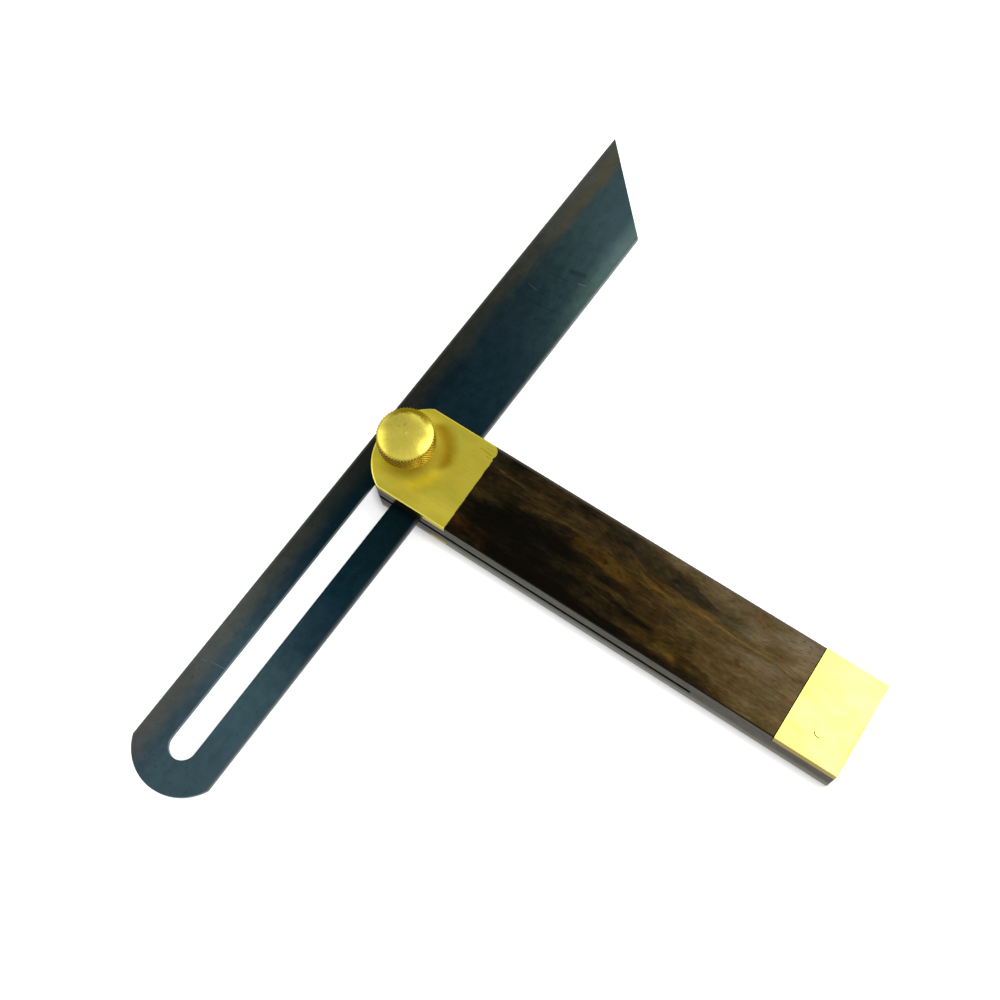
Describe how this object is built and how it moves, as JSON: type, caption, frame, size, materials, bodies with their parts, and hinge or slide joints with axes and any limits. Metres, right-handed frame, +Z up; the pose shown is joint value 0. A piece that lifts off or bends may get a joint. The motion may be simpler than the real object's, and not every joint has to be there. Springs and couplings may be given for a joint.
{
  "type": "adjustable angle ruler",
  "caption": "Sliding bevel: a slotted blued steel blade that swings and slides in a kerfed dark wood stock with brass plates, held by a knurled thumb screw.",
  "frame": {"origin": "on the pivot axis, in the plane of the stock's underside", "axes": "+X along the stock to its tail, +Y towards the blade's point, +Z up towards the thumb knob"},
  "size_m": [0.1358, 0.2003, 0.0224],
  "materials": {
    "stock_wood": "polished dark figured hardwood",
    "plate_brass": "brushed",
    "turned_brass": "turned",
    "knob_brass": "polished dome, diamond knurled band",
    "blued_steel": "blued, fine ground",
    "bare_steel": "machined"
  },
  "bodies": {
    "stock": {"stock": "stock_wood", "head_plate_top": "plate_brass", "head_plate_bottom": "plate_brass", "tail_plate": "plate_brass", "head_pins_top": "plate_brass", "head_pins_bottom": "plate_brass", "tail_pins": "plate_brass", "captive_nut": "turned_brass"},
    "follower": {"slot_follower": "turned_brass"},
    "blade": {"blade": "blued_steel"},
    "washer": {"thrust_washer": "turned_brass"},
    "screw": {"clamp_stud": "bare_steel", "thumb_knob": "knob_brass"}
  },
  "joints": [
    {"name": "blade_swing", "type": "hinge", "parent": "stock", "child": "follower", "pos_m": [0, 0, 0.00625], "axis": [0, 0, 1], "range_deg": [-72.4, 76]},
    {"name": "blade_slide", "type": "slide", "parent": "follower", "child": "blade", "axis": [0.0314, 0.9995, 0], "range_m": [-0.0032, 0.0832]},
    {"name": "screw_lift", "type": "slide", "parent": "stock", "child": "washer", "axis": [0, 0, 1], "range_m": [0, 0.0016]},
    {"name": "screw_turn", "type": "hinge", "parent": "washer", "child": "screw", "pos_m": [0, 0, 0.0125], "axis": [0, 0, 1], "range_deg": [0, 720]}
  ],
  "couplings": [
    {"joint": "screw_lift", "follows": "screw_turn", "m_per_rad": 0.000127}
  ]
}
